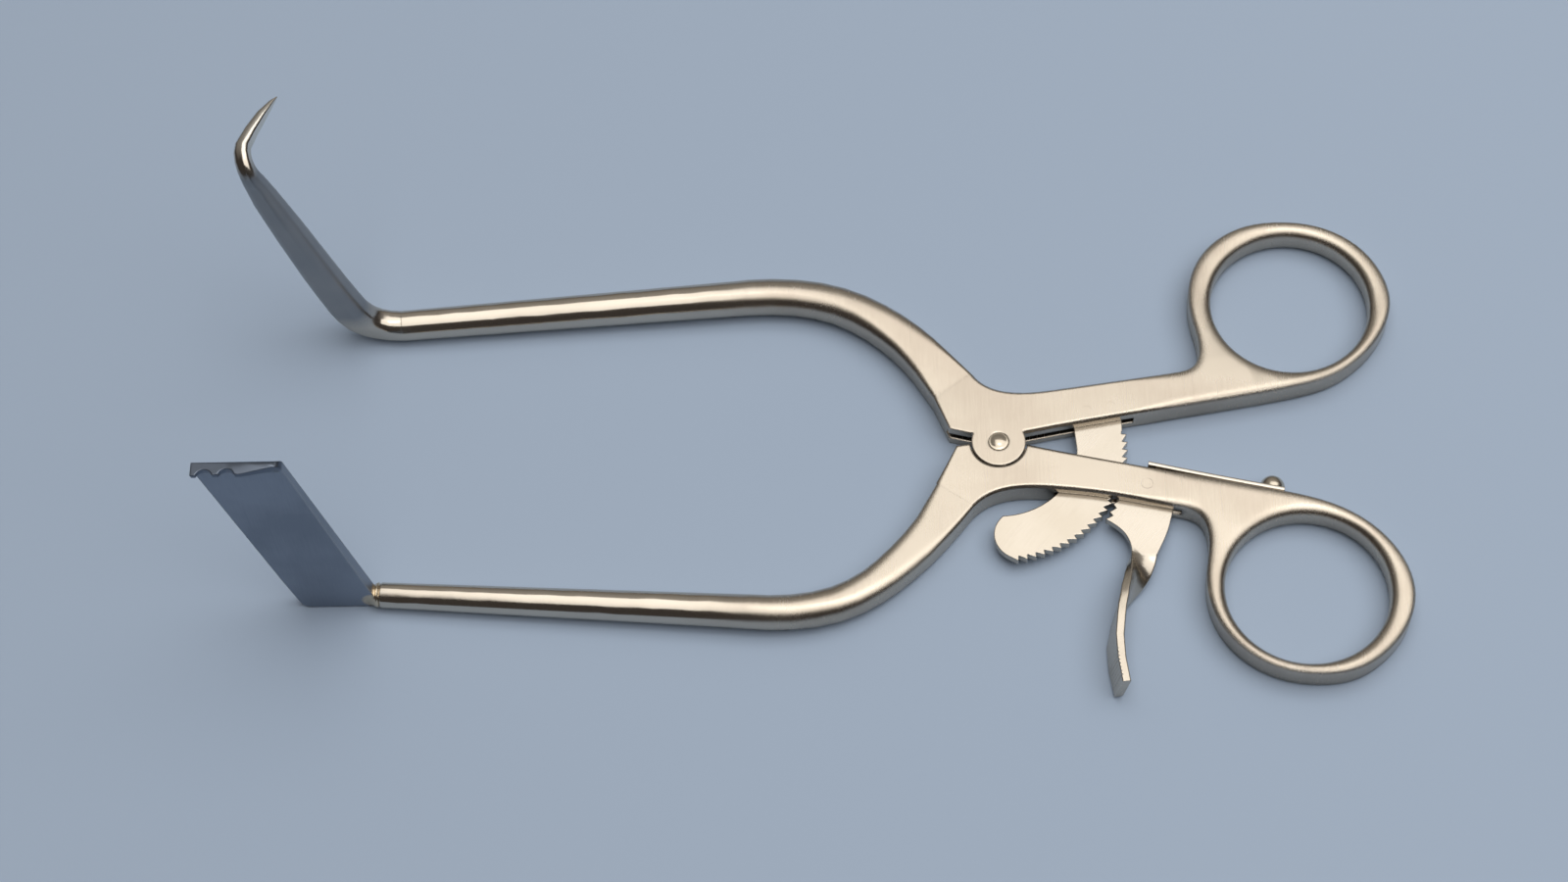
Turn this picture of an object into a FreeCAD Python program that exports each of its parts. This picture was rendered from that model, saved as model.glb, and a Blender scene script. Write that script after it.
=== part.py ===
"""Self retaining retractor: two ring-handled arms on one pivot, a ratchet rack, a release lever
and its leaf spring.

Frame, in millimetres: the instrument lies on the plane z = 0 with its blades standing up. The
origin is on the pivot axis at that plane, +X runs to the finger rings, +Y to the arm with the
single hook, +Z up to the blade tips.
"""
import FreeCAD
import Part

import math
import os

V = FreeCAD.Vector

# Handles and box joint
handle_thickness = 4.8
edge_round = 0.5
edge_bevel = 0.4
joint_step = 0.015
joint_overlap = 1.5
joint_lead = 0.2
shaft_overlap = 0.3
lug_radius = 4.3
lug_clearance = 0.25
fork_clearance = 0.05

# Finger rings, their holes rounded off in a few cones
ring_hole_radius = 12.7
ring_round = 1.25
ring_round_angles = (0, 30, 60, 90)

# Pivot pin
pin_radius = 1.15
pin_head_radius = 1.6
pin_head_depth = 0.5
pin_dome_radius = 1.32
pin_dome_height = 0.32
pin_clearance = 0.05
pin_recess = 0.06

# Ratchet
channel_height = 1.5
slide_clearance = 0.05
rack_inner_radius = 12.45
rack_root_radius = 19.6
tooth_depth = 0.85
tooth_lean = 0.12
tooth_pitch = 4.0
tooth_count = 23
first_tooth_angle = 5.4
rack_end_angle = -88.5
rack_nose_angle = -94.2
rack_root_height = 7.8
rack_root_start = 3.0
rack_root_flare = 0.35
rack_root_slope = 0.9
rack_seat_gap = 1.2
channel_gap = 0.4
rack_pin_radius = 0.8
rack_pin_spread = 0.27
rack_pin_heights = (5.3, 6.0)

# Release lever
lever_pin_radius = 0.9
lever_lift = 9.0
pawl_clearance = 0.12
tail_gap = 0.05
pad_height = 6.0
pad_thickness = 1.4
pad_floor_gap = 0.15
neck_step = 0.02
pad_corner = 0.25
pawl_lead = 0.4
pawl_first_tooth = 6
pawl_reach = 8
pawl_tip_share = 0.7
pawl_swing_steps = 6
groove_count = 8
groove_start = 1.2
groove_pitch = 0.62
groove_depth = 0.28

# Leaf spring and its screw
spring_thickness = 0.68
spring_width = 4.4
spring_lift = 0.28
spring_length = 19.7
spring_flat = 1.6
spring_tail = 1.9
spring_bow = 0.32
spring_seat_depth = 0.05
spring_seat_margin = 0.3
screw_radius = 0.9
screw_reach = 2.6
screw_depth = 2.6
screw_head_radius = 2.0
screw_head_height = 2.5
screw_rim_height = 0.5

# Round shafts of the two arms
hook_shaft_diameter = 5.9
hook_shaft_end_diameter = 5.0
blade_shaft_diameter = 5.4
blade_shaft_end_diameter = 4.0

# Hook
hook_height = 49.4
hook_lean = 17.45
hook_foot_width = 5.5
hook_neck_width = 2.75
hook_root_step = 0.04
hook_depth_ratio = 0.86
hook_corner_share = 0.34
hook_set_back = 0.1
prong_length = 13.0
prong_corner_share = 0.4

# Toothed blade
blade_height = 45.9
blade_foot_width = 12.0
blade_tip_width = 12.9
blade_foot_thickness = 2.0
blade_tip_thickness = 1.3
blade_lean = 8.8
lip_reach = 1.15
lip_thickness = 1.3
lip_slope = 0.45
lip_hollow = 0.3
lip_first_gap = 0.35
lip_cut_depth = 6.0
blade_tooth_pitch = 3.3
scallop_radius = 1.3
scallop_count = 2
lip_run_out = 0.7
blade_corner_round = 1.8
blade_floor_gap = 0.3
blade_shaft_gap = 0.2
blade_knee = 0.2
blade_thinned = 0.9
blade_tip_drop = 0.6
braze_depth = 1.4
lip_bend = 1.6
shaft_chamfer = 0.25
bead_length = 2.3
tang_overlap = 1.5
tang_height_share = 0.8

# Places worked out from the sizes
top = handle_thickness
mid = handle_thickness / 2
fork_thickness = (handle_thickness - channel_height) / 2
slot_depth = lug_radius + 0.8
rack_thickness = channel_height - 2 * slide_clearance
rack_tip_radius = rack_root_radius + tooth_depth
channel_bottom = mid - channel_height / 2
rack_bottom = mid - rack_thickness / 2
pivot = V(0, 0, 0)
lever_pivot = V(23.0, -8.0, 0)
clear_length = 8 * hook_height
beyond = 4.0
rack_seat_right = rack_tip_radius + rack_seat_gap

# Plan of the fork's sawn slot and of the handle's channel beyond the rack
fork_slot_points = [
    (-14, -14), (rack_seat_right, -14), (rack_seat_right, 8.6), (9, 7.1), (0, slot_depth),
    (-6.6, 4.4), (-14, 1.0),
]
channel_angles = (8, -25, -62)
channel_points = [(28.3, -20), (28.3, -12.0), (30.2, -8.2), (30.2, beyond)]
upper_ring = V(47.8, 24.7, 0)
lower_ring = V(46.7, -26.4, 0)

# Plan outlines of the forged handles, from the joint end round the ring and back
hook_handle_points = [
    (-3.9, 12.6), (0, 9.55), (3.5, 8.95), (10, 9.45), (20, 10.85), (28, 12.0), (31.6, 13.3), (32.6, 16.2),
    (31.8, 22.0), (32.3, 30.4), (36, 36.2), (41.5, 39.4), (47.7, 40.1), (54, 38.9), (59.5, 35.3), (63, 29.8),
    (63.9, 24.5), (62.4, 19.6), (59.0, 15.0), (53.5, 11.0), (47, 9.0),
    (38, 7.35), (25, 5.2), (12, 3.0), (4.2, 1.5),
]
hook_shoulder_points = [(4.2, 1.5), (-4.4, 1.65), (-7.7, 2.5)]
hook_neck_points = [(-7.7, 2.5), (-10.0, 8.0)]
blade_handle_points = [
    (-4.2, -11.4), (0, -8.8), (3.5, -8.25), (9, -8.5), (18, -9.85), (27, -11.85),
    (30.9, -13.4), (32.1, -16.5),
    (31.4, -23.5), (32.3, -31.0), (36.2, -36.7), (41.8, -40.1), (47.5, -41.1), (53, -40.4), (58.5, -36.8),
    (62.0, -31.8), (63.0, -27.0), (61.7, -21.5), (58.0, -16.2), (52.5, -12.3),
    (45, -9.75), (32, -6.8), (18, -3.75),
    (4.2, -0.45),
]
blade_shoulder_points = [(4.2, -0.45), (-4.4, -0.4), (-6.65, -0.7)]
blade_neck_points = [(-6.65, -0.7), (-8.1, -3.6), (-10.0, -7.3)]

# Stations of the bent arms in plan: centre x and y, width as a share of the shaft, and roundness
hook_arm_stations = [
    (-10.3, 14.9, 1.14, 0.15), (-14.3, 19.5, 1.06, 0.35), (-19.0, 23.4, 1.02, 0.6),
    (-25.0, 26.7, 1.0, 0.8), (-32.0, 28.4, 1.0, 0.94), (-40.0, 28.6, 1.0, 1.0),
]
blade_arm_stations = [
    (-11.0, -15.1, 1.12, 0.15), (-15.6, -20.2, 1.04, 0.35), (-20.3, -24.2, 1.0, 0.6),
    (-26.0, -27.1, 1.0, 0.8), (-32.8, -28.3, 1.0, 0.94), (-40.0, -28.1, 1.0, 1.0),
]
hook_shaft_end = V(-96.5, 24.9, 0)
blade_shaft_end = V(-97.3, -23.8, 0)

# Free outline of the lever plate, from the pawl round the tail and down to the neck
lever_points = [
    (18.9, -8.3), (21.0, -6.0), (23.6, -5.3), (25.6, -4.75), (28.5, -5.3), (29.1, -6.8), (27.9, -9.6),
    (26.8, -12.4), (26.0, -15.2), (24.8, -18.0), (24.0, -19.6),
]
lever_front_points = [(20.1, -19.6), (19.95, -17.6), (19.3, -16.0), (17.6, -14.2), (15.6, -12.9)]

# Stations of the lever's neck and thumb pad: centre, height as a share of the pad's, and twist
pad_stations = [
    (22.2, -18.6, 0.655, 0.0), (22.0, -19.6, 0.68, 0.0), (21.4, -21.4, 0.67, 22.0), (20.6, -23.2, 0.72, 50.0),
    (19.5, -25.2, 0.82, 76.0), (18.35, -27.6, 0.92, 92.0), (17.4, -31.0, 1.0, 98.0),
    (16.8, -34.5, 1.0, 102.0), (16.9, -38.4, 0.98, 102.0), (17.5, -42.4, 0.9, 102.0),
]

# Stations of the hook's shaft: lean and height as shares of the hook's, and width share
hook_stations = [
    (0.224, 0.0135, 0.92), (0.384, 0.066, 0.98), (0.481, 0.158, 1.0), (0.63, 0.384, 0.95),
    (0.768, 0.618, 0.86), (0.886, 0.82, 0.73), (0.936, 0.915, 0.6),
]
# Stations of the prong: place from the elbow in shares of the prong's length, and width share
prong_stations = [
    (0.05, 0.0, -0.12, 1.0), (0.0, 0.108, -0.012, 0.92), (-0.015, 0.292, 0.027, 0.85),
    (0.058, 0.5, 0.019, 0.76), (0.165, 0.738, 0.012, 0.6), (0.273, 0.931, 0.004, 0.28), (0.323, 1.0, 0.004, 0.055),
]

# Braze bead: place along it and radius, as shares of its length and of the shaft's radius
bead_profile = [(0.15, 1.0), (0.45, 0.82), (1.0, 0.42)]


def polar(radius, angle, z=0.0):
    """Point at a radius and an angle in degrees round the pivot axis."""
    turn = math.radians(angle)
    return V(radius * math.cos(turn), radius * math.sin(turn), z)


def spline(points, z=0.0):
    """Smooth edge through plan points."""
    curve = Part.BSplineCurve()
    curve.interpolate([V(x, y, z) for x, y in points])
    return curve.toShape()


def chain(points, z=0.0):
    """Straight edges through plan points."""
    ends = [V(x, y, z) for x, y in points]
    return [Part.LineSegment(a, b).toShape() for a, b in zip(ends, ends[1:])]


def prism(edges, height):
    """Solid raised from a closed chain of plan edges."""
    return Part.Face(Part.Wire(edges)).extrude(V(0, 0, height))


def disc(centre, radius, bottom, height):
    """Upright cylinder."""
    return Part.makeCylinder(radius, height, centre + V(0, 0, bottom))


def cone(bottom_radius, top_radius, bottom, height):
    """Cone on the pivot axis."""
    return Part.makeCone(bottom_radius, top_radius, height, V(0, 0, bottom))


def section(centre, along, up, width, height, corner, twist):
    """Rounded rectangle square to a direction, its height side upwards before it is twisted."""
    across = along.cross(up)
    turn = math.radians(twist)
    wide = across * math.cos(turn) + up * math.sin(turn)
    high = up * math.cos(turn) - across * math.sin(turn)
    corner = min(corner, 0.495 * width, 0.495 * height)
    corners = []
    for start, sx, sy in ((0, 1, 1), (90, -1, 1), (180, -1, -1), (270, 1, -1)):
        core = centre + wide * (sx * (width / 2 - corner)) + high * (sy * (height / 2 - corner))
        angles = [math.radians(start + part) for part in (0, 45, 90)]
        corners.append([core + wide * (corner * math.cos(a)) + high * (corner * math.sin(a)) for a in angles])
    edges = []
    for here, following in zip(corners, corners[1:] + corners[:1]):
        edges.append(Part.Arc(*here).toShape())
        edges.append(Part.LineSegment(here[2], following[0]).toShape())
    return Part.Wire(edges)


def centre_line(centres):
    """Smooth line through centres, with the distance to each along the straight runs between them."""
    lengths = [0.0]
    for here, following in zip(centres, centres[1:]):
        lengths.append(lengths[-1] + (following - here).Length)
    curve = Part.BSplineCurve()
    curve.interpolate(Points=centres, Parameters=lengths)
    return curve, lengths


def swept(centres, sizes, up, spans):
    """Bar along a smooth line; width, height, corner and twist blend from one station to the next."""
    curve, lengths = centre_line(centres)
    wires = []
    for gap, steps in enumerate(spans + [1]):
        for step in range(steps):
            share = step / steps
            following = min(gap + 1, len(sizes) - 1)
            at = lengths[gap] + share * (lengths[following] - lengths[gap])
            size = [p + (q - p) * share for p, q in zip(sizes[gap], sizes[following])]
            along = curve.tangent(at)[0].normalize()
            up = (up - along * up.dot(along)).normalize()
            wires.append(section(curve.value(at), along, up, *size))
    return Part.makeLoft(wires, True, True)


def rounded_plate(side_edges, joint_edges, hole_centre):
    """Forged handle with its finger ring: the free edges bevelled, the ring's hole rounded."""
    plate = prism(side_edges + joint_edges, top)
    rims = [e for e in plate.Edges if abs(e.BoundBox.ZLength) < 1e-6]
    free = [e for e in rims if any(near_edge(e, s) for s in side_edges)]
    plate = plate.makeChamfer(edge_bevel, free)
    return plate.cut(ring_hole(hole_centre))


def ring_hole(centre):
    """Room of a finger ring's hole: a bore that opens at both faces round a corner of three short cones."""
    cutters = [disc(centre, ring_hole_radius, -1, top + 2)]
    turns = [math.radians(angle) for angle in ring_round_angles]
    for here, following in zip(turns, turns[1:]):
        near = ring_hole_radius + ring_round * (1 - math.cos(here))
        far = ring_hole_radius + ring_round * (1 - math.cos(following))
        depth = ring_round * (1 - math.sin(here))
        length = ring_round * (math.sin(following) - math.sin(here))
        cutters.append(Part.makeCone(near, far, length, centre + V(0, 0, top - depth)))
        cutters.append(Part.makeCone(near, far, length, centre + V(0, 0, depth), V(0, 0, -1)))
    return cutters[0].fuse(cutters[1:])


def near_edge(edge, model):
    """True where an edge lies over a plan edge."""
    middle = edge.valueAt((edge.FirstParameter + edge.LastParameter) / 2)
    flat = Part.Vertex(V(middle.x, middle.y, 0))
    return model.distToShape(flat)[0] < 1e-4


def bent_arm(inner, outer, stations, diameter, end_diameter, end):
    """Bar that leaves the flat forging, rounds off through its bend and tapers straight to its end."""
    side = V(outer[0] - inner[0], outer[1] - inner[1], 0)
    joint = V(inner[0] + outer[0], inner[1] + outer[1], top) * 0.5
    away = V(stations[0][0], stations[0][1], top / 2) - joint
    away = (away - side * (away.dot(side) / side.Length ** 2)).normalize()
    width = side.Length - 2 * joint_step
    depth = top - 2 * joint_step
    centres = [joint - away * joint_overlap, joint + away * joint_lead]
    sizes = [(width, depth, edge_round, 0), (width, depth, edge_round, 0)]
    for x, y, share, roundness in stations:
        depth = top + (diameter - top) * roundness
        centres.append(V(x, y, depth / 2))
        sizes.append((share * diameter, depth, edge_round + (depth / 2 - edge_round) * roundness, 0))
    finish = end + V(0, 0, end_diameter / 2)
    bend = swept(centres + [finish], sizes, V(0, 0, 1), [1] + [2] * len(stations))
    run = (finish - centres[-1]).normalize()
    start = centres[-1] - run * shaft_overlap
    shaft = Part.makeCone(diameter / 2 - joint_step, end_diameter / 2, (finish - start).Length, start, run)
    return bend.fuse(shaft)


def make_fork_slot():
    """Sawn slot of the forked arm, from its shoulder past the rack's seat."""
    return prism(chain(fork_slot_points + fork_slot_points[:1], fork_thickness), channel_height)


def make_hook():
    """Hook: the shaft bends up and flattens, leans outwards, then turns at its elbow into a sharp prong."""
    foot = hook_shaft_end
    low = hook_shaft_end_diameter / 2
    centres = [foot + V(shaft_overlap, 0, low), foot + V(0, 0, low)]
    sizes = [(2 * (low - hook_root_step), 2 * (low - hook_root_step), low, 0)] * 2
    for out, height, share in hook_stations:
        size = share * hook_foot_width
        centres.append(foot + V(-out * hook_lean, hook_set_back, low + height * (hook_height - low)))
        sizes.append((hook_depth_ratio * size, size, hook_corner_share * size, 0))
    elbow = foot + V(-hook_lean, hook_set_back, hook_height)
    for out, reach, drop, share in prong_stations:
        size = share * hook_neck_width
        centres.append(elbow + V(out, reach, drop) * prong_length)
        sizes.append((size, size, prong_corner_share * size, 0))
    spans = [1] + [2] * 4 + [1] * (len(hook_stations) - 4) + [2] * 3 + [1] * (len(prong_stations) - 3)
    return swept(centres, sizes, V(0, 0, 1), spans)


def make_pin_seat():
    """Hole of the pivot pin through the fork, countersunk at both ends."""
    narrow = pin_radius + pin_clearance
    wide = pin_head_radius + pin_clearance
    bore = disc(pivot, narrow, -1, top + 2)
    head = cone(narrow, wide, top - pin_head_depth, pin_head_depth)
    foot = cone(wide, narrow, 0, pin_head_depth)
    return bore.fuse([head, foot])


def make_hook_arm():
    """Upper arm: ring handle, slotted fork with the two lugs, bent shaft and hook."""
    side = [spline(hook_handle_points)]
    joint = chain(hook_shoulder_points + hook_neck_points[1:] + hook_handle_points[:1])
    plate = rounded_plate(side, joint, upper_ring)
    arm = bent_arm(hook_neck_points[-1], hook_handle_points[0], hook_arm_stations,
                   hook_shaft_diameter, hook_shaft_end_diameter, hook_shaft_end)
    lug = disc(pivot, lug_radius, 0, top)
    body = plate.fuse([lug, arm])
    body = body.cut(make_fork_slot())
    body = body.cut(make_pin_seat())
    for centre in rack_pin_centres():
        body = body.cut(disc(centre, rack_pin_radius, -1, top + 2))
    return body.fuse(make_hook())


def make_blade_arm():
    """Lower arm: ring handle, lapped tongue, channel for rack and lever, bent shaft."""
    side = [spline(blade_handle_points)]
    joint = chain(blade_shoulder_points + blade_neck_points[1:] + blade_handle_points[:1])
    plate = rounded_plate(side, joint, lower_ring)
    arm = bent_arm(blade_neck_points[-1], blade_handle_points[0], blade_arm_stations,
                   blade_shaft_diameter, blade_shaft_end_diameter, blade_shaft_end)
    body = plate.fuse(arm)
    body = body.common(shaft_end_cone())
    recess = disc(pivot, lug_radius + lug_clearance, -1, top + 2)
    body = body.cut(recess)
    low = fork_thickness + fork_clearance
    height = channel_height - 2 * fork_clearance
    tongue = disc(pivot, lug_radius, low, height)
    web = disc(pivot, lug_radius + 2 * lug_clearance, low, height)
    corner = V(-2 * lug_radius, -2 * lug_radius - 2 * lug_clearance, 0)
    web = web.common(Part.makeBox(4 * lug_radius, 2 * lug_radius, top, corner))
    body = body.fuse([tongue, web])
    body = body.cut(disc(pivot, pin_radius, -1, top + 2))
    body = body.cut(make_channel())
    body = body.cut(disc(lever_pivot, lever_pin_radius, -1, top + 2))
    return body


def shaft_end_cone():
    """Cone that chamfers the end of the blade's shaft and clears everything behind it."""
    run = V(*blade_arm_stations[-1][:2], 0) - blade_shaft_end
    centre = blade_shaft_end + V(0, 0, blade_shaft_end_diameter / 2)
    radius = blade_shaft_end_diameter / 2 - shaft_chamfer
    return Part.makeCone(radius, clear_length, clear_length, centre, run)


def make_channel():
    """Channel through the handle for the rack and the lever."""
    near = rack_inner_radius - channel_gap
    start, middle, end = [polar(near, angle, channel_bottom) for angle in channel_angles]
    corners = [(end.x, end.y), (end.x, channel_points[0][1])] + channel_points
    corners += [(start.x, beyond), (start.x, start.y)]
    return prism([Part.Arc(start, middle, end).toShape()] + chain(corners, channel_bottom), channel_height)


def tooth_edges(root, tip, count, start, pitch, z):
    """Saw teeth going round clockwise from an angle: a steep face out, then a slope back to the root."""
    points = []
    for step in range(count):
        angle = start - step * pitch
        points += [polar(root, angle, z), polar(tip, angle - tooth_lean * pitch, z)]
    points.append(polar(root, start - count * pitch, z))
    return points


def make_rack():
    """Ratchet rack: concentric toothed bar with its root seated in the forked handle."""
    z = rack_bottom
    teeth = tooth_edges(rack_root_radius, rack_tip_radius, tooth_count, first_tooth_angle, tooth_pitch, z)
    last = teeth[-1]
    inner_end = polar(rack_inner_radius, rack_end_angle, z)
    nose = polar((rack_inner_radius + rack_root_radius) / 2, rack_nose_angle, z)
    left = rack_inner_radius - rack_root_flare
    right = rack_root_radius + joint_overlap / 15
    crown = rack_root_height - rack_root_slope * 2 / 3
    edges = [Part.LineSegment(a, b).toShape() for a, b in zip(teeth, teeth[1:])]
    edges.append(Part.Arc(last, nose, inner_end).toShape())
    bend = polar(rack_inner_radius, -4, z)
    edges.append(Part.Arc(inner_end, polar(rack_inner_radius, rack_end_angle / 2, z), bend).toShape())
    corners = [bend, V(left, rack_root_start, z), V(left, crown, z), V(right, crown + rack_root_slope, z),
               V(right, rack_root_start - channel_gap, z), teeth[0]]
    edges += [Part.LineSegment(a, b).toShape() for a, b in zip(corners, corners[1:])]
    rack = prism(edges, rack_thickness)
    for centre in rack_pin_centres():
        rack = rack.cut(disc(centre, rack_pin_radius, -1, top + 2))
    return rack


def rack_pin_centres():
    """Centres of the two rivets through the rack's root."""
    middle = (rack_inner_radius + rack_root_radius) / 2
    apart = rack_pin_spread * (rack_root_radius - rack_inner_radius)
    return [V(middle - apart, rack_pin_heights[0], 0), V(middle + apart, rack_pin_heights[1], 0)]


def make_lever():
    """Release lever: pawl and tail on a flat plate, then a neck that twists into the thumb pad."""
    z = rack_bottom
    back = spline(lever_points, z)
    front = spline(lever_front_points, z)
    ends = chain([lever_points[-1], lever_front_points[0]], z)
    pawl = chain([lever_front_points[-1], lever_points[0]], z)
    plate = prism([back] + ends + [front] + pawl, rack_thickness)
    plate = plate.cut(pawl_cutter() + [spring_side(tail_gap)])
    plate = plate.cut(disc(lever_pivot, lever_pin_radius + pin_clearance, -1, top + 2))
    centres = pad_centres()
    sizes = []
    for x, y, share, turn in pad_stations:
        bent = min(turn / 90, 1)
        thick = rack_thickness + (pad_thickness - rack_thickness) * bent - neck_step * (1 - bent)
        sizes.append((share * pad_height, thick, pad_corner, turn))
    pad = swept(centres, sizes, V(0, 0, 1), [1] + [2] * 5 + [1] * (len(pad_stations) - 7))
    return plate.fuse(pad.cut(pad_grooves()))


def pad_centres():
    """Centres of the lever's neck and pad, rising from the plate's middle to half the pad's height."""
    centres = []
    for x, y, share, turn in pad_stations:
        bent = min(turn / 90, 1)
        centres.append(V(x, y, mid + bent * (pad_height / 2 - mid + pad_floor_gap)))
    return centres


def pad_grooves():
    """Fine grooves across the thumb's side of the pad, counted back from its end."""
    curve, lengths = centre_line(pad_centres())
    turn = math.radians(pad_stations[-1][3])
    grooves = []
    for index in range(groove_count):
        at = lengths[-1] - groove_start - index * groove_pitch
        along = curve.tangent(at)[0].normalize()
        up = (V(0, 0, 1) - along * along.z).normalize()
        across = along.cross(up)
        wide = across * math.cos(turn) + up * math.sin(turn)
        inward = up * math.cos(turn) - across * math.sin(turn)
        face = curve.value(at) - inward * (pad_thickness / 2) - wide * pad_height
        corners = [face - along * (groove_pitch / 2) - inward * groove_depth,
                   face + inward * groove_depth,
                   face + along * (groove_pitch / 2) - inward * groove_depth]
        wedge = Part.Face(Part.makePolygon(corners + corners[:1]))
        grooves.append(wedge.extrude(wide * (2 * pad_height)))
    return grooves


def pawl_cutter():
    """Room for the rack: its tip circle at rest, and its toothed edge through the whole swing of the pawl."""
    z = rack_bottom - 1
    gap = pawl_clearance
    start = first_tooth_angle - pawl_first_tooth * tooth_pitch
    start += math.degrees(pawl_lead * gap / rack_tip_radius)
    teeth = tooth_edges(rack_root_radius + gap, rack_tip_radius + gap, pawl_reach, start, tooth_pitch, z)
    end = start - pawl_reach * tooth_pitch
    loop = teeth + [polar(rack_inner_radius, end, z), polar(rack_inner_radius, start, z)]
    edges = [Part.LineSegment(a, b).toShape() for a, b in zip(loop, loop[1:] + loop[:1])]
    cutters = [disc(pivot, rack_tip_radius + pawl_tip_share * gap, z, rack_thickness + 2)]
    for step in range(1, pawl_swing_steps + 1):
        cutter = prism(edges, rack_thickness + 2)
        cutter.rotate(lever_pivot, V(0, 0, 1), lever_lift * step / pawl_swing_steps)
        cutters.append(cutter)
    return cutters


def make_pivot_pin():
    """Pivot pin: countersunk head with a dome, peened foot just below flush."""
    shank = disc(pivot, pin_radius, pin_recess, top - 2 * pin_recess)
    flush = pin_head_radius - (pin_head_radius - pin_radius) * pin_recess / pin_head_depth
    head = cone(pin_radius, flush, top - pin_head_depth, pin_head_depth - pin_recess)
    foot = cone(flush, pin_radius, pin_recess, pin_head_depth - pin_recess)
    ball = (pin_dome_radius ** 2 + pin_dome_height ** 2) / (2 * pin_dome_height)
    base = top - pin_recess
    dome = Part.makeSphere(ball, V(0, 0, base + pin_dome_height - ball))
    dome = dome.common(disc(pivot, pin_dome_radius, base, pin_dome_height + 1))
    return shank.fuse([head, foot, dome])


def make_rivet(centre, radius):
    """Flush rivet."""
    return disc(centre, radius, pin_recess / 2, top - pin_recess)


def spring_line():
    """Point on the handle's edge near the screw, and the directions along and away from the edge."""
    near = V(*blade_handle_points[-3], 0)
    far = V(*blade_handle_points[-4], 0)
    along = (near - far).normalize()
    out = V(-along.y, along.x, 0)
    if out.y < 0:
        out = out * -1
    return far, along, out


def spring_root():
    """Point on the handle's edge under the screw."""
    far, along, out = spring_line()
    return far + along * screw_reach - out * spring_seat_depth


def spring_side(gap):
    """Everything on the free side of the spring's underside, a gap before it."""
    low = -spring_line()[2] * gap - V(0, 0, 1)
    under = spring_underside(low)
    out = spring_line()[2] * 8
    first = under.Vertexes[0].Point
    last = under.Vertexes[-1].Point
    corners = [last, last + out, first + out, first]
    sides = [Part.LineSegment(a, b).toShape() for a, b in zip(corners, corners[1:])]
    return prism([under] + sides, top + 2)


def spring_underside(offset):
    """Underside of the spring's free part, a gentle arc from its flat to its tip."""
    along, out = spring_line()[1:]
    root = spring_root() + offset
    flat = root + along * spring_flat
    tip = root + along * spring_length + out * spring_lift
    middle = root + along * ((spring_flat + spring_length) / 2) + out * (spring_bow * spring_lift)
    return Part.Arc(flat, middle, tip).toShape()


def make_spring():
    """Leaf spring: flat under its screw, then rising gently off the handle's edge."""
    along, out = spring_line()[1:]
    low = V(0, 0, mid - spring_width / 2)
    thick = out * spring_thickness
    lower = spring_underside(low)
    upper = spring_underside(low + thick)
    tail = spring_root() + low - along * spring_tail
    edges = [
        lower, Part.LineSegment(lower.Vertexes[-1].Point, upper.Vertexes[-1].Point).toShape(), upper,
        Part.LineSegment(upper.Vertexes[0].Point, tail + thick).toShape(),
        Part.LineSegment(tail + thick, tail).toShape(),
        Part.LineSegment(tail, lower.Vertexes[0].Point).toShape(),
    ]
    return prism(edges, spring_width)


def spring_seat():
    """Flat milled on the handle's edge where the spring is screwed down."""
    along, out = spring_line()[1:]
    start = spring_root() - along * (spring_tail + spring_seat_margin) - V(0, 0, 1)
    finish = spring_root() + along * spring_flat
    corners = [start, finish, finish + out * beyond, start + out * beyond]
    corners = [(p.x, p.y) for p in corners]
    return prism(chain(corners + corners[:1], -1), top + 2)


def screw_hole(radius, depth):
    """Cylinder on the screw's axis, from a depth inside the handle outwards."""
    out = spring_line()[2]
    return Part.makeCylinder(radius, depth + 4, spring_root() + V(0, 0, mid) - out * depth, out)


def make_screw():
    """Round-headed screw that holds the spring."""
    out = spring_line()[2]
    seat = spring_root() + V(0, 0, mid) + out * spring_thickness
    length = spring_thickness + screw_depth
    shank = Part.makeCylinder(screw_radius, length, seat - out * length, out)
    rim = Part.makeCylinder(screw_head_radius, screw_rim_height, seat, out)
    rise = screw_head_height - screw_rim_height
    ball = (screw_head_radius ** 2 + rise ** 2) / (2 * rise)
    dome = Part.makeSphere(ball, seat + out * (screw_head_height - ball))
    dome = dome.common(Part.makeCylinder(screw_head_radius, rise, seat + out * screw_rim_height, out))
    return shank.fuse([rim, dome])


def blade_edges():
    """Near edge of the blade at its foot and tip, and its far edge at foot and tip, along X."""
    near = blade_shaft_end.x - blade_shaft_gap
    far = near - blade_foot_width
    far_tip = far - blade_lean
    return near, far_tip + blade_tip_width, far, far_tip


def make_tang():
    """Tang of the blade that sits in the slit of the shaft's end."""
    near = blade_edges()[0]
    back = blade_shaft_end.y + blade_foot_thickness / 2
    height = tang_height_share * blade_shaft_end_diameter
    return Part.makeBox(braze_depth + tang_overlap, blade_foot_thickness, height,
                        V(near - tang_overlap, back - blade_foot_thickness, blade_floor_gap))


def make_bead():
    """Braze bead round the blade's root: full against the shaft's end, then tapering onto the plate."""
    full = blade_shaft_end_diameter / 2
    centre = blade_shaft_end + V(0, 0, full)
    away = (blade_shaft_end - V(*blade_arm_stations[-1][:2], 0)).normalize()
    profile = [(0.0, 1 - shaft_chamfer / full)] + bead_profile
    bead = []
    for (place, size), (next_place, next_size) in zip(profile, profile[1:]):
        start = centre + away * (place * bead_length)
        length = (next_place - place) * bead_length
        bead.append(Part.makeCone(size * full, next_size * full, length, start, away))
    corner = blade_shaft_end + V(-3 * full, -2 * full, blade_floor_gap)
    above = Part.makeBox(4 * full, 4 * full, 4 * full, corner)
    return bead[0].fuse(bead[1:]).common(above)


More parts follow.
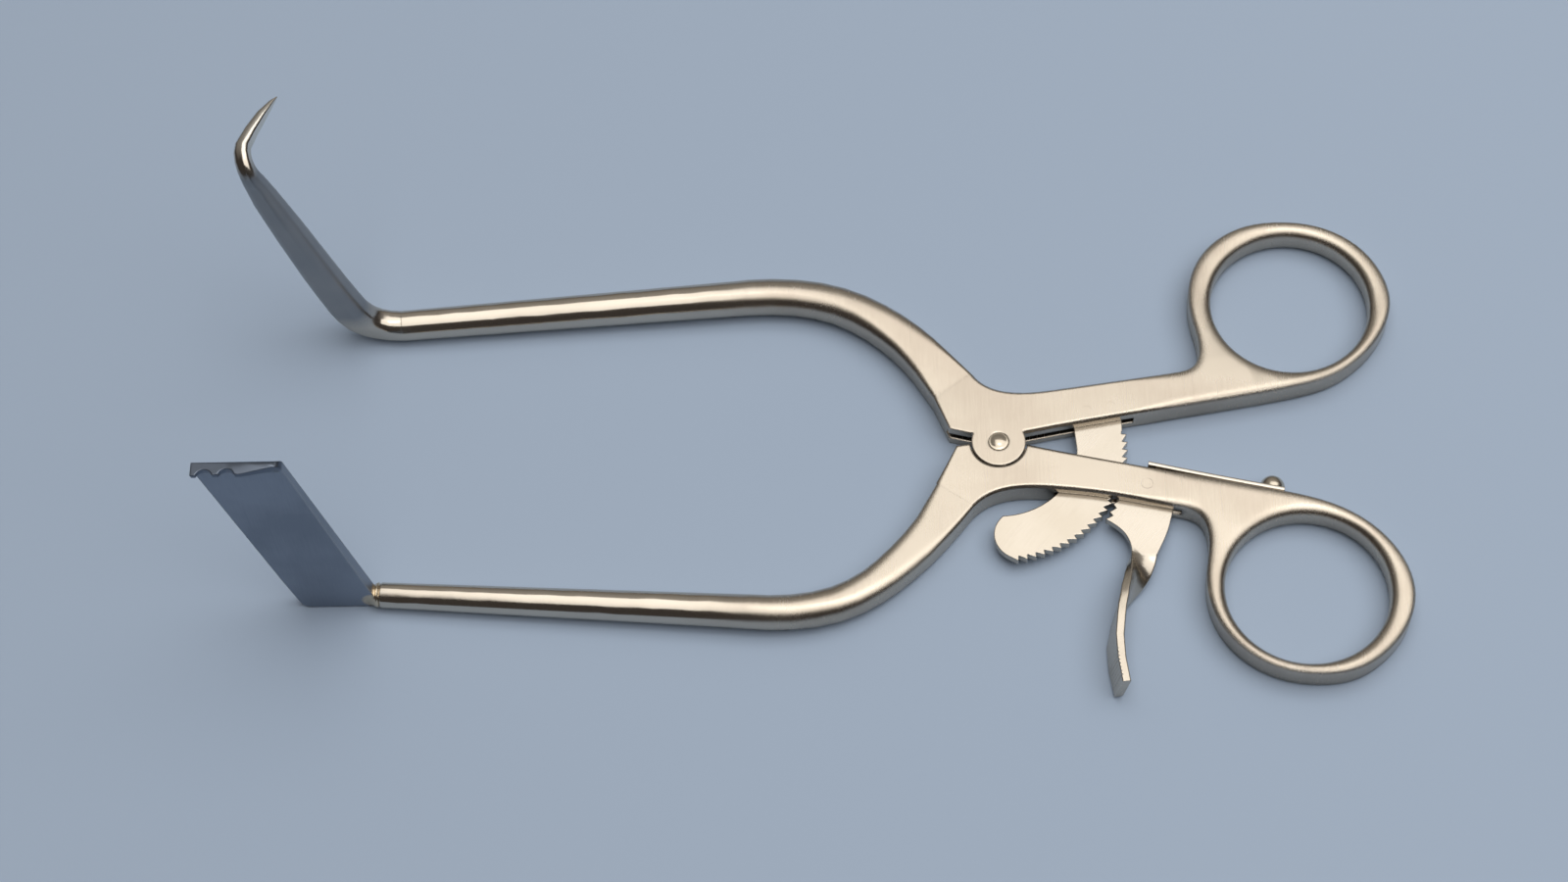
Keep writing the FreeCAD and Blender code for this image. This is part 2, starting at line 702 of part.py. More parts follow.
def bend_corner():
    """Waste outside the rounded bend where the plate turns over into its lip."""
    far_tip = blade_edges()[3]
    back = blade_shaft_end.y + blade_foot_thickness / 2
    start = V(far_tip - 1, back - lip_bend, blade_height - lip_bend)
    length = blade_tip_width + 2
    block = Part.makeBox(length, 2 * lip_bend, 2 * lip_bend, start)
    return block.cut(Part.makeCylinder(lip_bend, length, start, V(1, 0, 0)))


def make_lip():
    """Lip turned out along the top of the blade: scallops between its teeth, and a bevel that runs it out."""
    back = blade_shaft_end.y + blade_foot_thickness / 2
    near, near_tip, far, far_tip = blade_edges()
    face = back - blade_tip_thickness
    edge = face - lip_reach
    under = blade_height - lip_thickness
    inside = face + 0.5 * blade_tip_thickness
    points = [V(far_tip, face, under - lip_reach), V(far_tip, inside, under - lip_reach),
              V(far_tip, inside, blade_height), V(far_tip, edge, blade_height - lip_slope),
              V(far_tip, edge, under)]
    hollow = V(far_tip, face - lip_hollow * lip_reach, under - lip_hollow * lip_reach)
    sides = [Part.LineSegment(p, q).toShape() for p, q in zip(points, points[1:])]
    sides.append(Part.Arc(points[-1], hollow, points[0]).toShape())
    lip = Part.Face(Part.Wire(sides)).extrude(V(blade_tip_width, 0, 0))
    for gap in range(scallop_count):
        middle = far_tip + lip_first_gap + (gap + 0.5) * blade_tooth_pitch
        foot = V(middle, edge - lip_hollow * scallop_radius, blade_height - lip_cut_depth)
        lip = lip.cut(Part.makeCylinder(scallop_radius, lip_cut_depth + beyond, foot))
    last = far_tip + lip_run_out + scallop_count * blade_tooth_pitch
    bevel = [(last, edge - 1), (last, edge), (near_tip, face), (near_tip + 2, face), (near_tip + 2, edge - 1)]
    return lip.cut(prism(chain(bevel + bevel[:1], blade_height - lip_cut_depth), lip_cut_depth + beyond))


def make_blade():
    """Toothed blade: leaning plate that thins upwards, a tang in the shaft's slit, and the toothed lip."""
    back = blade_shaft_end.y + blade_foot_thickness / 2
    near, near_tip, far, far_tip = blade_edges()
    corners = [V(near, 0, blade_floor_gap), V(near_tip, 0, blade_height),
               V(far_tip, 0, blade_height - blade_tip_drop), V(far, 0, blade_floor_gap)]
    outline = Part.Face(Part.makePolygon(corners + corners[:1]))
    slab = outline.extrude(V(0, -blade_height, 0))
    rounded = [e for e in slab.Edges if e.BoundBox.YLength > 0.9 * blade_height
               and (e.BoundBox.XMax < far + 0.01 and e.BoundBox.ZMax < 1
                    or e.BoundBox.XMin > near_tip - 0.01 and e.BoundBox.ZMin > 1)]
    slab = slab.makeFillet(blade_corner_round, rounded)
    front = back - blade_foot_thickness
    thin = back - blade_tip_thickness
    profile = [V(0, back, 0), V(0, front, 0), V(0, front, blade_knee * blade_height),
               V(0, thin, blade_thinned * blade_height), V(0, thin, blade_height), V(0, back, blade_height)]
    side = Part.Face(Part.makePolygon(profile + profile[:1]))
    side.translate(V(far_tip - 1, 0, 0))
    plate = side.extrude(V(near - far_tip + 2, 0, 0)).common(slab)
    blade = plate.fuse(make_lip().common(slab)).cut(bend_corner())
    return blade.fuse([make_tang(), make_bead()]).removeSplitter()


def main():
    """Build each piece and write it out."""
    os.makedirs("parts", exist_ok=True)
    screw_room = screw_hole(screw_radius, screw_depth)
    blade_arm = make_blade_arm().cut([screw_room, make_tang(), spring_seat(), spring_side(tail_gap)])
    spring = make_spring().cut(screw_room)
    pieces = {
        "hook_arm": make_hook_arm(),
        "blade_arm": blade_arm,
        "toothed_blade": make_blade(),
        "pivot_pin": make_pivot_pin(),
        "ratchet_rack": make_rack(),
        "release_lever": make_lever(),
        "lever_pin": make_rivet(lever_pivot, lever_pin_radius),
        "leaf_spring": spring,
        "spring_screw": make_screw(),
    }
    for index, centre in enumerate(rack_pin_centres(), 1):
        pieces["rack_pin_%d" % index] = make_rivet(centre, rack_pin_radius)
    for name, shape in pieces.items():
        shape.exportStep("parts/%s.step" % name)
        print(name, shape.isValid(), len(shape.Solids), round(shape.Volume, 1))


main()
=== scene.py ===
import math

import bpy
import numpy as np
from mathutils import Matrix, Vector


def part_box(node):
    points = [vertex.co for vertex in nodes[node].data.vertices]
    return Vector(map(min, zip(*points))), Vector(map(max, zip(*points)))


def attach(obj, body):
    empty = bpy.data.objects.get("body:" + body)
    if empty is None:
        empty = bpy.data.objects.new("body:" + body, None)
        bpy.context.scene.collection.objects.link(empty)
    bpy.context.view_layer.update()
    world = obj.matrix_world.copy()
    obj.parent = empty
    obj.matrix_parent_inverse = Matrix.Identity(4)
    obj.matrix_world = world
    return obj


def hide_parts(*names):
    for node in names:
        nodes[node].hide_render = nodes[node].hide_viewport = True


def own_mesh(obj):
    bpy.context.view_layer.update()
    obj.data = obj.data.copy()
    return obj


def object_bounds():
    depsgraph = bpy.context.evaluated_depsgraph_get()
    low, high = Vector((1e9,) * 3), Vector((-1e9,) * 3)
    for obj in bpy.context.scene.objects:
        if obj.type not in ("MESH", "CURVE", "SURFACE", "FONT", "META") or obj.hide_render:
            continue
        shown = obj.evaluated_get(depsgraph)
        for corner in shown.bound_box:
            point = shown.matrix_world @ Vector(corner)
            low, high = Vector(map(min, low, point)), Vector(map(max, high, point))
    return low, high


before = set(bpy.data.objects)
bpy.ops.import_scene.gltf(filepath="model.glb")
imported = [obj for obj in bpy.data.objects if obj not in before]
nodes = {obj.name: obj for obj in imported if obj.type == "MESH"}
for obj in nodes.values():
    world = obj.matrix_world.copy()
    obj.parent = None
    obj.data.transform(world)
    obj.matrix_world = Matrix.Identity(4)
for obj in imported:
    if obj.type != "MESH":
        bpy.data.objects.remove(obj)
cad_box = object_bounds()


# Hook arm
# The upper half of the retractor: finger ring, flat handle, lug at the joint, bent bar, round
# shaft and the single sharp hook. Forged stainless steel, ground along its length and blasted
# to a warm satin, with the edges polished bright by the final buffing.

def feed(tree, socket, term):
    """Links a socket to another node's output, or sets it to a plain value."""
    if isinstance(term, bpy.types.NodeSocket):
        tree.links.new(term, socket)
    else:
        socket.default_value = term


def spread(tree, value, low, high, at_low=0.0, at_high=1.0, smooth=False):
    """The value's way from low to high, drawn out to run from at_low to at_high and held at both ends."""
    span = tree.nodes.new("ShaderNodeMapRange")
    span.interpolation_type = "SMOOTHSTEP" if smooth else "LINEAR"
    span.inputs["From Min"].default_value = low
    span.inputs["From Max"].default_value = high
    span.inputs["To Min"].default_value = at_low
    span.inputs["To Max"].default_value = at_high
    feed(tree, span.inputs["Value"], value)
    return span.outputs["Result"]


def reckon(tree, operation, *terms, clamp=False):
    """One step of arithmetic on numbers or other nodes' values."""
    step = tree.nodes.new("ShaderNodeMath")
    step.operation = operation
    step.use_clamp = clamp
    for socket, term in zip(step.inputs, terms):
        feed(tree, socket, term)
    return step.outputs["Value"]


def mixed(tree, kind, share, under, over):
    """The under term where the share is 0, and the over term where it is 1."""
    mix = tree.nodes.new("ShaderNodeMix")
    mix.data_type = kind
    feed(tree, mix.inputs["Factor"], share)
    feed(tree, mix.inputs["A"], under)
    feed(tree, mix.inputs["B"], over)
    return mix.outputs["Result"]


def on_vectors(tree, operation, *terms):
    """The vector math node for one operation on these terms."""
    step = tree.nodes.new("ShaderNodeVectorMath")
    step.operation = operation
    for socket, term in zip(step.inputs, terms):
        feed(tree, socket, term)
    return step


def noise(tree, place, per_metre, detail, turn_degrees=0):
    """Noise with so many patches to the metre along each axis, and the patches then turned about Z."""
    stretch = tree.nodes.new("ShaderNodeMapping")
    stretch.inputs["Rotation"].default_value = (0, 0, math.radians(turn_degrees))
    stretch.inputs["Scale"].default_value = per_metre
    patches = tree.nodes.new("ShaderNodeTexNoise")
    patches.inputs["Scale"].default_value = 1
    patches.inputs["Detail"].default_value = detail
    feed(tree, stretch.inputs["Vector"], place)
    feed(tree, patches.inputs["Vector"], stretch.outputs["Vector"])
    return patches.outputs["Fac"]


def new_group(name, kind, inputs, outputs):
    """An empty node group with these sockets, its input node and its output node."""
    group = bpy.data.node_groups.new(name, kind)
    for in_out, sockets in (("INPUT", inputs), ("OUTPUT", outputs)):
        for socket, socket_kind in sockets.items():
            group.interface.new_socket(socket, in_out=in_out, socket_type=f"NodeSocket{socket_kind}")
    return group, group.nodes.new("NodeGroupInput"), group.nodes.new("NodeGroupOutput")


def facet_joiner(crease_degrees):
    """Geometry group: merge by distance, drop the stored normals, shade faces smooth and creases sharp."""
    name = f"facet_joiner_{crease_degrees}"
    if name in bpy.data.node_groups:
        return bpy.data.node_groups[name]
    shape = {"Geometry": "Geometry"}
    group, start, end = new_group(name, "GeometryNodeTree", shape, shape)
    merge = group.nodes.new("GeometryNodeMergeByDistance")
    merge.inputs["Distance"].default_value = 1e-6
    drop = group.nodes.new("GeometryNodeRemoveAttribute")
    drop.inputs["Name"].default_value = "custom_normal"
    faces = group.nodes.new("GeometryNodeSetShadeSmooth")
    faces.domain = "FACE"
    faces.inputs["Shade Smooth"].default_value = True
    angle = group.nodes.new("GeometryNodeInputMeshEdgeAngle")
    flatter = group.nodes.new("FunctionNodeCompare")
    flatter.data_type = "FLOAT"
    flatter.operation = "LESS_THAN"
    flatter.inputs["B"].default_value = math.radians(crease_degrees)
    edges = group.nodes.new("GeometryNodeSetShadeSmooth")
    edges.domain = "EDGE"
    feed(group, flatter.inputs["A"], angle.outputs["Unsigned Angle"])
    feed(group, edges.inputs["Shade Smooth"], flatter.outputs["Result"])
    chain = (start, merge, drop, faces, edges, end)
    for earlier, later in zip(chain, chain[1:]):
        feed(group, later.inputs["Geometry"], earlier.outputs["Geometry"])
    return group


def rounded_shading(piece, crease_degrees, wide_face_weight=60):
    """Joins the piece's triangles, smooths every edge flatter than the crease and keeps wide faces flat."""
    joined = piece.modifiers.new("joined_facets", "NODES")
    joined.node_group = facet_joiner(crease_degrees)
    faired = piece.modifiers.new("fair_normals", "WEIGHTED_NORMAL")
    faired.keep_sharp = True
    faired.weight = wide_face_weight


def ground_grain_group():
    """Cloud: slow patches about 14 mm wide. Streak: lines 4 mm long and 0.2 mm wide along X. Scratch: a few
    hairlines, 17 mm long, where their noise is at its highest."""
    group, start, end = new_group(
        "ground_grain", "ShaderNodeTree",
        {"Vector": "Vector"}, {"Cloud": "Float", "Streak": "Float", "Scratch": "Float"},
    )
    place = start.outputs["Vector"]
    feed(group, end.inputs["Cloud"], noise(group, place, per_metre=(70, 70, 70), detail=3))
    feed(group, end.inputs["Streak"], noise(group, place, per_metre=(250, 4500, 4500), detail=2))
    hairline = noise(group, place, per_metre=(60, 2600, 2600), detail=1, turn_degrees=9)
    feed(group, end.inputs["Scratch"], spread(group, hairline, low=0.66, high=0.74))
    return group


def buffed_edge_group():
    """Normal: the surface with its corners rounded to the radius. Edge: 1 where that rounding turns the
    face, 0 on flats. Both go by the cosine of the turn, which is 1 on a flat."""
    group, start, end = new_group(
        "buffed_edge", "ShaderNodeTree",
        {"Radius": "Float"}, {"Edge": "Float", "Normal": "Vector"},
    )
    bevel = group.nodes.new("ShaderNodeBevel")
    bevel.samples = 8
    feed(group, bevel.inputs["Radius"], start.outputs["Radius"])
    rounded = bevel.outputs["Normal"]
    face = group.nodes.new("ShaderNodeNewGeometry").outputs["Normal"]
    cosine = on_vectors(group, "DOT_PRODUCT", rounded, face).outputs["Value"]
    feed(group, end.inputs["Edge"], spread(group, cosine, low=0.97, high=0.80))
    turned = spread(group, cosine, low=1.0, high=0.999)
    blended = mixed(group, "VECTOR", turned, under=face, over=rounded)
    feed(group, end.inputs["Normal"], on_vectors(group, "NORMALIZE", blended).outputs["Vector"])
    return group


ground_grain = ground_grain_group()
buffed_edge = buffed_edge_group()


def steel(name, light, dark, bright, rough, rough_spread, edge_rough, grain_turn, edge_radius, grain_depth):
    """Steel going from dark to light with the grain, and to bright, smoother metal on its buffed edges."""
    streak_share, cloud_share, scratch_share = 0.18, 0.86, 0.2
    cloud_depth = 0.00005

    material = bpy.data.materials.new(name)
    material.use_nodes = True
    tree = material.node_tree
    shader = tree.nodes["Principled BSDF"]
    shader.inputs["Metallic"].default_value = 1.0

    place = tree.nodes.new("ShaderNodeTexCoord")
    place.name = "place"
    turn = tree.nodes.new("ShaderNodeMapping")
    turn.inputs["Rotation"].default_value = grain_turn
    grain = tree.nodes.new("ShaderNodeGroup")
    grain.node_tree = ground_grain
    grain.name = "grain"
    edge = tree.nodes.new("ShaderNodeGroup")
    edge.node_tree = buffed_edge
    edge.name = "edge"
    edge.inputs["Radius"].default_value = edge_radius
    feed(tree, turn.inputs["Vector"], place.outputs["Object"])
    feed(tree, grain.inputs["Vector"], turn.outputs["Vector"])
    cloud, streak, scratch = (grain.outputs[part] for part in ("Cloud", "Streak", "Scratch"))

    blend = reckon(tree, "MULTIPLY_ADD", streak, streak_share, reckon(tree, "MULTIPLY", cloud, cloud_share))
    tone = tree.nodes.new("ShaderNodeValToRGB")
    darkest, lightest = tone.color_ramp.elements
    darkest.position, darkest.color = 0.40, (*dark, 1)
    lightest.position, lightest.color = 0.64, (*light, 1)
    feed(tree, tone.inputs["Fac"], blend)
    buffed = mixed(tree, "RGBA", edge.outputs["Edge"], under=tone.outputs["Color"], over=(*bright, 1))
    feed(tree, shader.inputs["Base Color"], buffed)

    scored = reckon(tree, "MULTIPLY_ADD", scratch, scratch_share, blend)
    matt = spread(
        tree, scored, low=0.35, high=0.65, at_low=rough - rough_spread, at_high=rough + rough_spread,
    )
    smoother = mixed(tree, "FLOAT", edge.outputs["Edge"], under=matt, over=edge_rough)
    feed(tree, shader.inputs["Roughness"], smoother)

    waves = reckon(tree, "MULTIPLY", cloud, cloud_depth)
    bump = tree.nodes.new("ShaderNodeBump")
    bump.inputs["Strength"].default_value = 1.0
    bump.inputs["Distance"].default_value = 1.0
    feed(tree, bump.inputs["Height"], reckon(tree, "MULTIPLY_ADD", streak, grain_depth, waves))
    feed(tree, bump.inputs["Normal"], edge.outputs["Normal"])
    feed(tree, shader.inputs["Normal"], bump.outputs["Normal"])
    return material


def dress(node, material, crease_degrees=38):
    """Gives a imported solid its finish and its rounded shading."""
    piece = nodes[node]
    for slot in piece.material_slots:
        slot.material = material
    rounded_shading(piece, crease_degrees)


def forging_radius_group(flush_pins, pin_radius):
    """Radius: how far the forging's corners are rounded at a place. Each zone along X has its own, and it
    shrinks to none at the edge of a flush pin."""
    shaft, bar, handle, ring = 0.0002, 0.002, 0.0005, 0.002
    shaft_to_bar, bar_to_handle, handle_to_ring = (-0.05, -0.038), (-0.014, -0.006), (0.020, 0.031)
    group, start, end = new_group(
        "forging_radius", "ShaderNodeTree", {"Vector": "Vector"}, {"Radius": "Float"},
    )
    split = group.nodes.new("ShaderNodeSeparateXYZ")
    flat = group.nodes.new("ShaderNodeCombineXYZ")
    feed(group, split.inputs["Vector"], start.outputs["Vector"])
    feed(group, flat.inputs["X"], split.outputs["X"])
    feed(group, flat.inputs["Y"], split.outputs["Y"])

    radius = shaft
    for (near, far), change in (
        (shaft_to_bar, bar - shaft), (bar_to_handle, handle - bar), (handle_to_ring, ring - handle),
    ):
        step = spread(group, split.outputs["X"], low=near, high=far, at_high=change, smooth=True)
        radius = reckon(group, "ADD", radius, step)
    for x, y in flush_pins:
        away = on_vectors(group, "DISTANCE", flat.outputs["Vector"], (x, y, 0)).outputs["Value"]
        beyond = reckon(group, "SUBTRACT", away, pin_radius, clamp=True)
        radius = reckon(group, "MINIMUM", beyond, radius)
    feed(group, end.inputs["Radius"], radius)
    return group


def along_axis(tree, axis, *ramps):
    """Mask by place along one axis: the product of ramps, each 0 at its first place and 1 at its second."""
    place = tree.nodes.new("ShaderNodeTexCoord")
    split = tree.nodes.new("ShaderNodeSeparateXYZ")
    feed(tree, split.inputs["Vector"], place.outputs["Object"])
    mask = 1.0
    for none, full in ramps:
        ramp = spread(tree, split.outputs[axis], low=none, high=full)
        mask = reckon(tree, "MULTIPLY", mask, ramp)
    return mask


def round_point(tree, point, full, none):
    """Mask that is 1 within the full distance of a point and fades to 0 at the other distance."""
    place = tree.nodes.new("ShaderNodeTexCoord").outputs["Object"]
    away = on_vectors(tree, "DISTANCE", place, point).outputs["Value"]
    return spread(tree, away, low=full, high=none, at_low=1.0, at_high=0.0)


def finish_and_painted_light_overlay(material, mask, colour, roughness, thinnest=0.8):
    """Lays a second colour and roughness over the first where the mask is 1, thinner between the clouds. It
    lays real finishes, and also painted shade and painted highlights.
    """
    tree = material.node_tree
    shader = tree.nodes["Principled BSDF"]
    cover = spread(tree, tree.nodes["grain"].outputs["Cloud"], low=0.35, high=0.6, at_low=thinnest)
    share = reckon(tree, "MULTIPLY", cover, mask)
    for name, kind, value in (("Base Color", "RGBA", (*colour, 1)), ("Roughness", "FLOAT", roughness)):
        under = shader.inputs[name].links[0].from_socket
        feed(tree, shader.inputs[name], mixed(tree, kind, share, under, over=value))


satin = {
    "light": (0.53, 0.475, 0.40),
    "dark": (0.44, 0.385, 0.32),
    "bright": (0.62, 0.57, 0.50),
    "rough": 0.25,
    "rough_spread": 0.03,
    "edge_rough": 0.2,
    "grain_turn": (0, 0, math.radians(90)),
    "grain_depth": 0.0000007,
}
flush_pin_names = ("rack_pin_1", "rack_pin_2", "lever_pin")
pin_places = []
for flush_pin in flush_pin_names:
    low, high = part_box(flush_pin)
    pin_places.append(((low[0] + high[0]) / 2, (low[1] + high[1]) / 2))
forging_radius = forging_radius_group(pin_places, pin_radius=0.00085)


def arm_finish(name):
    """Satin steel whose edges are rounded as the forging's are, with the round shaft smoother and paler."""
    material = steel(name, edge_radius=0, **satin)
    tree = material.node_tree
    radius = tree.nodes.new("ShaderNodeGroup")
    radius.node_tree = forging_radius
    feed(tree, radius.inputs["Vector"], tree.nodes["place"].outputs["Object"])
    feed(tree, tree.nodes["edge"].inputs["Radius"], radius.outputs["Radius"])
    shaft = along_axis(tree, "X", (-0.034, -0.052))
    finish_and_painted_light_overlay(material, shaft, colour=(0.56, 0.51, 0.44), roughness=0.16)
    return material


hook_finish = arm_finish("satin_steel_with_painted_stem_shade_and_prong_highlight")
# The stem, from near the table up to just under the prong, is painted dark grey and made rougher: the dark
# grey is painted shade on the same satin steel.
stem = along_axis(hook_finish.node_tree, "Z", (0.0055, 0.009), (0.0500, 0.0480))
finish_and_painted_light_overlay(hook_finish, stem, colour=(0.27, 0.275, 0.285), roughness=0.36)
# The prong is painted paler and made smoother: the paler colour is a painted highlight.
prong = round_point(hook_finish.node_tree, (-0.1115, 0.0335, 0.0500), full=0.004, none=0.008)
finish_and_painted_light_overlay(hook_finish, prong, colour=(0.74, 0.71, 0.65), roughness=0.17)
dress("hook_arm", hook_finish)


# Blade arm
# The lower half, forged and finished as the hook arm is: a tongue that the hook arm's two lugs lap
# round, a channel for the rack and the lever, a seat for the leaf spring, and a slit shaft end.

dress("blade_arm", arm_finish("satin_steel"))


# Toothed blade
# A flat steel plate brazed to the lower shaft, its lip turned out and scalloped into three teeth. It
# is darker and bluer than the handles, with fine lines running up the plate and a bead of warm braze.

blade_steel = steel(
    "blade_steel_finish",
    light=(0.27, 0.305, 0.365),
    dark=(0.20, 0.23, 0.28),
    bright=(0.42, 0.42, 0.42),
    rough=0.36,
    rough_spread=0.05,
    edge_rough=0.2,
    grain_turn=(0, math.radians(90), 0),
    edge_radius=0.0003,
    grain_depth=0.000003,
)
# The band along the top of the turned-out lip is painted dark blue-grey: painted shade.
lip = along_axis(blade_steel.node_tree, "Z", (0.0440, 0.0447))
finish_and_painted_light_overlay(blade_steel, lip, colour=(0.13, 0.155, 0.20), roughness=0.36)
bead = round_point(blade_steel.node_tree, (-0.0980, -0.0238, 0.0022), full=0.0020, none=0.0025)
finish_and_painted_light_overlay(blade_steel, bead, colour=(0.62, 0.53, 0.40), roughness=0.22)
dress("toothed_blade", blade_steel)


# Pivot pin, rack pins and lever pin
# Turned steel pins. The pivot's head is left as a small polished dome; the others are peened over,
# ground flush with the handles and blasted with them, so that they hardly show.

polished = steel(
    "polished_pin_finish",
    light=(0.58, 0.52, 0.43),
    dark=(0.49, 0.43, 0.35),
    bright=(0.66, 0.60, 0.51),
    rough=0.22,
    rough_spread=0.03,
    edge_rough=0.18,
    grain_turn=(0, 0, 0),
    edge_radius=0.0001,
    grain_depth=0.000001,
)
dress("pivot_pin", polished)
flush_finish = steel("flush_pin_finish", edge_radius=0, **satin)
for flush_pin in flush_pin_names:
    dress(flush_pin, flush_finish)


# Ratchet rack
# A curved plate riveted in the upper handle and running through the lower one, with saw teeth
# along its outer edge. Cut from sheet steel, faces satin, tooth tips bright.

plate_steel = steel(
    "plate_steel_finish",
    light=(0.57, 0.52, 0.45),
    dark=(0.49, 0.44, 0.37),
    bright=(0.66, 0.62, 0.56),
    rough=0.25,
    rough_spread=0.03,
    edge_rough=0.18,
    grain_turn=(0, 0, math.radians(-52)),
    edge_radius=0.00025,
    grain_depth=0.0000007,
)
dress("ratchet_rack", plate_steel)


# Release lever
# The pawl plate that drops between the rack's teeth, with a twisted neck and a thumb pad, cut from
# the same sheet as the rack.

dress("release_lever", plate_steel)


# Leaf spring and its screw
# A thin springy strip that presses the pawl onto the rack, held down by one domed screw.

spring_steel = steel(
    "spring_steel_finish",
    light=(0.60, 0.56, 0.50),
    dark=(0.48, 0.445, 0.39),
    bright=(0.72, 0.70, 0.66),
    rough=0.22,
    rough_spread=0.04,
    edge_rough=0.12,
    grain_turn=(0, 0, math.radians(10)),
    edge_radius=0.00015,
    grain_depth=0.000001,
)


def springy_strip(tail, root, tip, lean, curl, middle, width, thick, corner):
    """A rounded rectangle carried along a line: x runs from the tail to the tip, and the underside's y is
    the root's y, plus the lean times the way gone past the root, plus the curl times its square."""
    steps_along, steps_round_corner = 40, 4
    x = tail + (tip - tail) * np.linspace(0, 1, steps_along)
    past = root[0] - x
    y = root[1] + lean * past + curl * np.maximum(past, 0) ** 2
    slope = -lean - 2 * curl * np.maximum(past, 0)
    outward = np.column_stack([-slope, np.ones_like(slope)]) / np.sqrt(1 + slope**2)[:, None]
    quarter = np.linspace(0, math.pi / 2, steps_round_corner)
    turn = np.concatenate([quarter, quarter + math.pi / 2, quarter + math.pi, quarter + 1.5 * math.pi])
    side = np.repeat([1, -1, -1, 1], steps_round_corner)
    face = np.repeat([1, 1, -1, -1], steps_round_corner)
    across = side * (width / 2 - corner) + corner * np.cos(turn)
    up = thick / 2 + face * (thick / 2 - corner) + corner * np.sin(turn)
    grid = np.empty((len(x), len(turn), 3))
    grid[:, :, 0] = x[:, None] + outward[:, :1] * up[None, :]
    grid[:, :, 1] = y[:, None] + outward[:, 1:] * up[None, :]
    grid[:, :, 2] = middle + across[None, :]
    here = np.arange(len(x) * len(turn)).reshape(len(x), len(turn))
    near, far = here[:-1], here[1:]
    walls = np.stack([near, np.roll(near, -1, 1), np.roll(far, -1, 1), far], axis=-1).reshape(-1, 4)
    faces = walls.tolist() + [here[0][::-1].tolist(), here[-1].tolist()]
    mesh = bpy.data.meshes.new("bending_leaf_spring")
    mesh.from_pydata(grid.reshape(-1, 3).tolist(), [], faces)
    strip = bpy.data.objects.new("bending_leaf_spring", mesh)
    bpy.context.scene.collection.objects.link(strip)
    return strip


spring_root = (0.040893, -0.008869)
spring_middle = 0.0024
strip = springy_strip(
    tail=0.0443,
    root=spring_root,
    tip=0.02333,
    lean=0.2278,
    curl=0.877,
    middle=spring_middle,
    width=0.0044,
    thick=0.00068,
    corner=0.00014,
)
strip.data.materials.append(spring_steel)
rounded_shading(strip, crease_degrees=60)
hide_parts("leaf_spring")
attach(strip, "blade_arm_group")
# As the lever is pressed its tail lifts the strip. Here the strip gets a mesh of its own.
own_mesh(strip)
dress("leaf_spring", spring_steel)
dress("spring_screw", polished)


# Table
# A wide plain sheet, pale blue, a hair below the faces that rest on it.

def flat_sheet(name, half_width, height):
    """A square of two triangles: x and y run from minus to plus the half width at one height."""
    corners = np.array([(-1, -1), (1, -1), (1, 1), (-1, 1)], float) * half_width
    points = np.column_stack([corners, np.full(4, height)])
    mesh = bpy.data.meshes.new(name)
    mesh.from_pydata(points.tolist(), [], [(0, 1, 2, 3)])
    sheet = bpy.data.objects.new(name, mesh)
    bpy.context.scene.collection.objects.link(sheet)
    return sheet


table_gap = 0.00002
table = flat_sheet("table", half_width=6.0, height=cad_box[0].z - table_gap)
table_finish = bpy.data.materials.new("table_finish")
table_finish.use_nodes = True
table_shader = table_finish.node_tree.nodes["Principled BSDF"]
table_shader.inputs["Base Color"].default_value = (0.43, 0.53, 0.68, 1)
table_shader.inputs["Roughness"].default_value = 0.9
table_shader.inputs["Specular IOR Level"].default_value = 0.1
table.data.materials.append(table_finish)


# Studio
# One large soft panel overhead, for the bright flat faces and the broad band along the round
# shafts, and a small lamp high above the rings, in a dim room that is lighter overhead and behind.

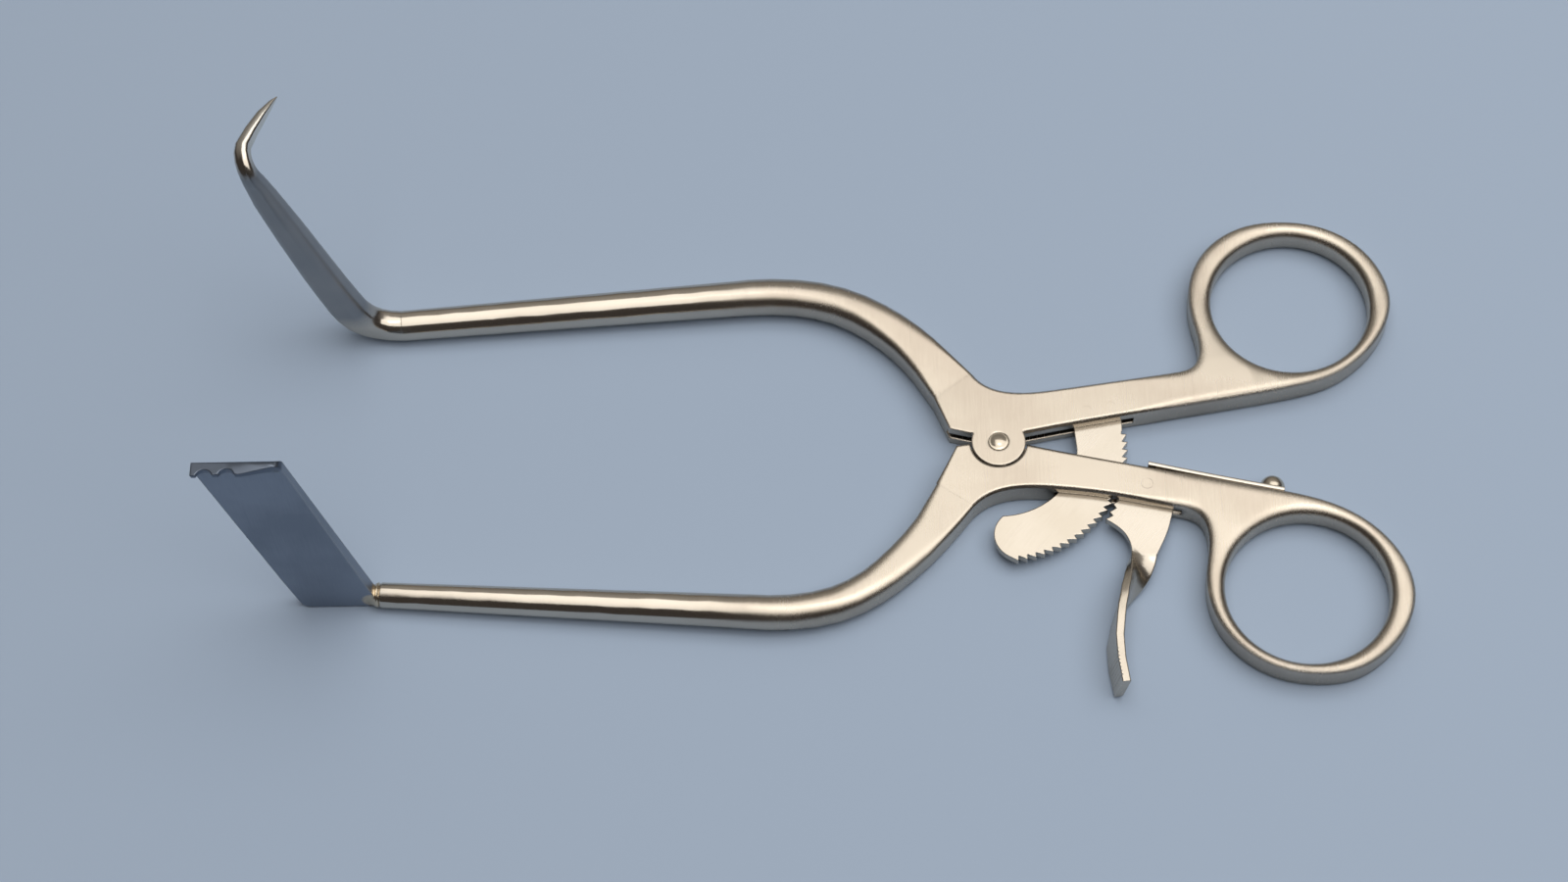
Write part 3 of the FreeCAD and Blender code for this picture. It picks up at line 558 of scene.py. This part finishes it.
def soft_box(name, place, aim, width, length, brightness, colour):
    """A rectangular lamp whose face has this brightness: its watts are brightness times pi times its area."""
    data = bpy.data.lights.new(name, "AREA")
    data.shape = "RECTANGLE"
    data.size = width
    data.size_y = length
    data.energy = brightness * math.pi * width * length
    data.color = colour
    lamp = bpy.data.objects.new(name, data)
    bpy.context.scene.collection.objects.link(lamp)
    direction = np.array(place) - np.array(aim)
    direction = direction / np.linalg.norm(direction)
    across = np.cross((0, 1, 0), direction)
    across = across / np.linalg.norm(across)
    upward = np.cross(direction, across)
    turn = Matrix(np.column_stack([across, upward, direction]).tolist()).to_4x4()
    lamp.matrix_world = Matrix.Translation(place) @ turn


soft_box(
    "ceiling_panel", place=(0.5, 0.02, 1.17), aim=(0.5, 0.02, 0),
    width=1.8, length=1.56, brightness=1.6, colour=(1.0, 0.975, 0.94),
)
soft_box(
    "key_lamp", place=(0.12, 0.06, 1.12), aim=(0, 0, 0),
    width=0.34, length=0.2, brightness=3.5, colour=(1.0, 0.98, 0.95),
)

world = bpy.data.worlds.new("soft_sky")
bpy.context.scene.world = world
world.use_nodes = True
sky = world.node_tree
lightest_way = (0, 0.6, 0.8)
gaze = sky.nodes.new("ShaderNodeTexCoord").outputs["Generated"]
sky_ramp = sky.nodes.new("ShaderNodeValToRGB")
low_sky, high_sky = sky_ramp.color_ramp.elements
low_sky.position, low_sky.color = 0.45, (0.06, 0.053, 0.05, 1)
high_sky.position, high_sky.color = 1.0, (0.42, 0.40, 0.37, 1)
feed(sky, sky_ramp.inputs["Fac"], on_vectors(sky, "DOT_PRODUCT", gaze, lightest_way).outputs["Value"])
feed(sky, sky.nodes["Background"].inputs["Color"], sky_ramp.outputs["Color"])


# Camera
# Above the near side of the table, tipped down about 61 degrees, at the photograph's distance.

camera_place = (-0.016387, -0.238435, 0.441087)
camera_right = (0.99919, 0.0, -0.04031)
camera_up = (0.01937, 0.87702, 0.48007)
camera_back = (0.03535, -0.48046, 0.8763)
camera_data = bpy.data.cameras.new("camera")
camera_data.lens = 72
camera_data.sensor_width = 36
camera_data.clip_start = 0.01
camera = bpy.data.objects.new("camera", camera_data)
bpy.context.scene.collection.objects.link(camera)
camera_turn = Matrix(np.column_stack([camera_right, camera_up, camera_back]).tolist()).to_4x4()
camera.matrix_world = Matrix.Translation(camera_place) @ camera_turn
bpy.context.scene.camera = camera
bpy.context.scene.view_settings.view_transform = "Standard"


# Finish
# The view layer is brought up to date.

bpy.context.view_layer.update()
